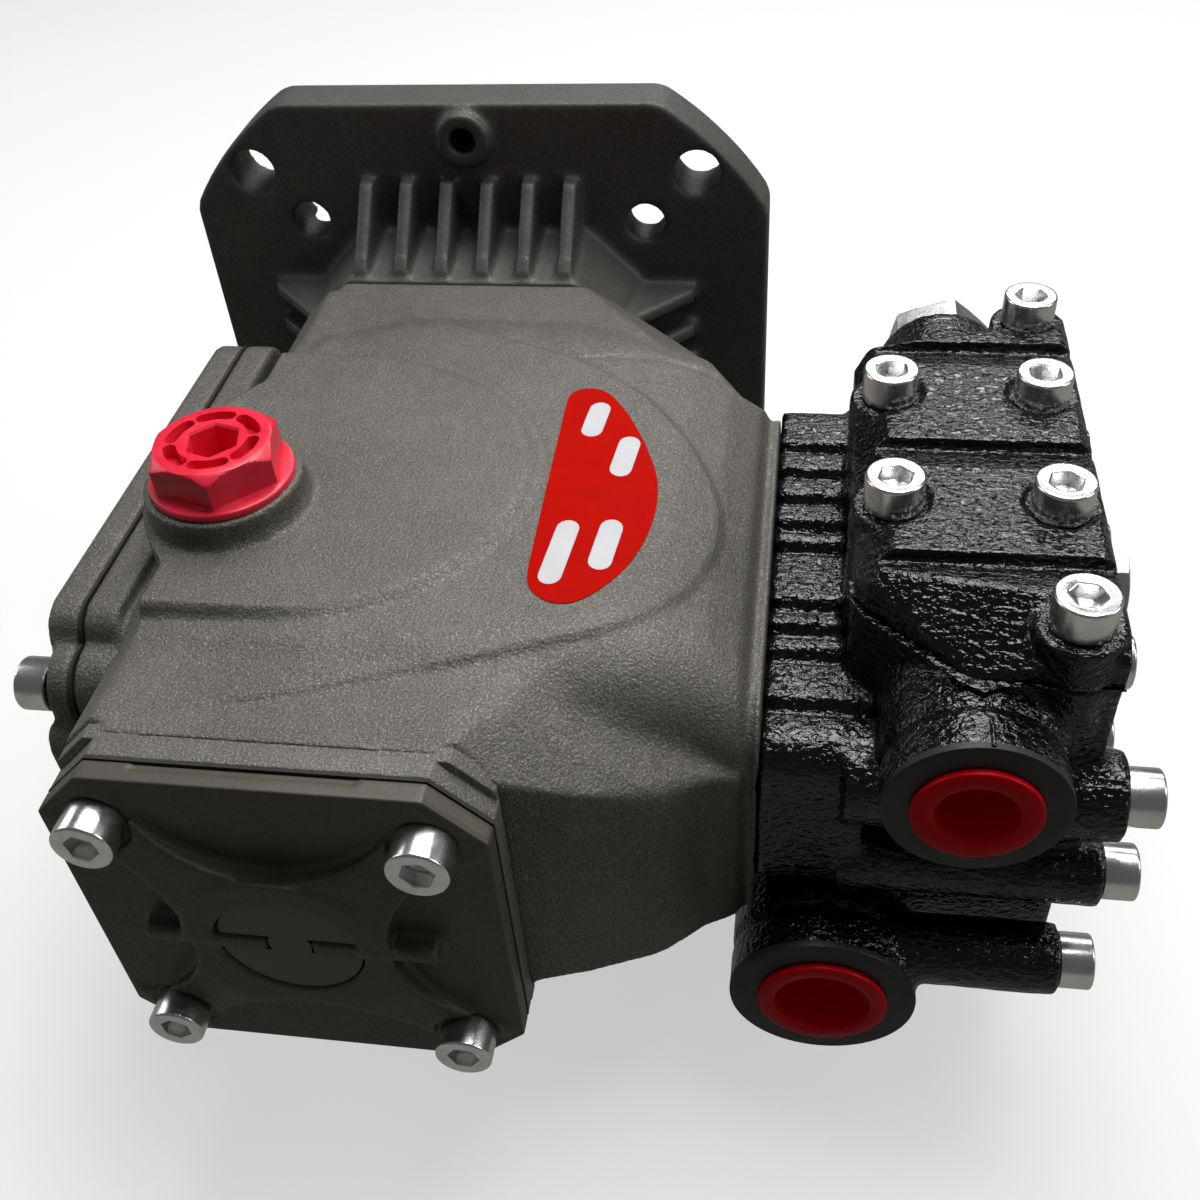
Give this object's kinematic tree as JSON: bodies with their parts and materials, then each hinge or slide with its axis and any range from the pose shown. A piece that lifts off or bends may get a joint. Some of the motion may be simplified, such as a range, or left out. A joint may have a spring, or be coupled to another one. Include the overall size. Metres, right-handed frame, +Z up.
{
  "type": "high-pressure pump",
  "caption": "Small three-plunger high-pressure pump with a grey crankcase, black head, motor flange and hollow input shaft",
  "frame": {"origin": "centre of the motor flange's mounting face on the shaft axis", "axes": "+Y out of the mounting face to the motor, +X to the pump head, +Z up to the oil filler"},
  "size_m": [0.2085, 0.1896, 0.138],
  "materials": {
    "cast_grey": "shot-blasted aluminium casting with a fine satin powder finish",
    "cover_grey": "satin olive-grey casting",
    "black_iron": "glossy black paint over rough cast iron",
    "zinc_steel": "bright zinc plate",
    "ground_steel": "fine ground",
    "gasket_paper": "dark gasket paper",
    "window_plastic": "smoked clear plastic over dark oil",
    "seal_rubber": "matt black rubber",
    "red_plastic": "bright red moulded plastic",
    "dark_red_plastic": "red moulded plastic"
  },
  "bodies": {
    "root": {"motor_bell": "cast_grey", "bell_screws": "zinc_steel", "crankcase": "cast_grey", "side_cover": "cover_grey", "side_cover_gasket": "gasket_paper", "oil_sight_glass": "window_plastic", "rear_cover": "cast_grey", "rear_cover_gasket": "gasket_paper", "rear_cover_screws": "zinc_steel", "hollow_shaft": "ground_steel", "shaft_seal": "seal_rubber", "oil_filler_plug": "red_plastic", "oil_drain_plug": "zinc_steel", "valve_cover": "black_iron", "cylinder_head": "black_iron", "head_bolts": "zinc_steel", "outlet_port_plug": "dark_red_plastic", "inlet_port_plug": "dark_red_plastic", "outlet_rear_plug": "zinc_steel", "inlet_rear_plug": "zinc_steel", "gauge_port_plug": "zinc_steel", "side_cover_screw_1": "zinc_steel", "side_cover_screw_2": "zinc_steel", "side_cover_screw_3": "zinc_steel", "side_cover_screw_4": "zinc_steel", "valve_cover_screw_1": "zinc_steel", "valve_cover_screw_2": "zinc_steel", "valve_cover_screw_3": "zinc_steel", "valve_cover_screw_4": "zinc_steel", "valve_cover_screw_5": "zinc_steel", "valve_cover_screw_6": "zinc_steel"}
  },
  "joints": []
}
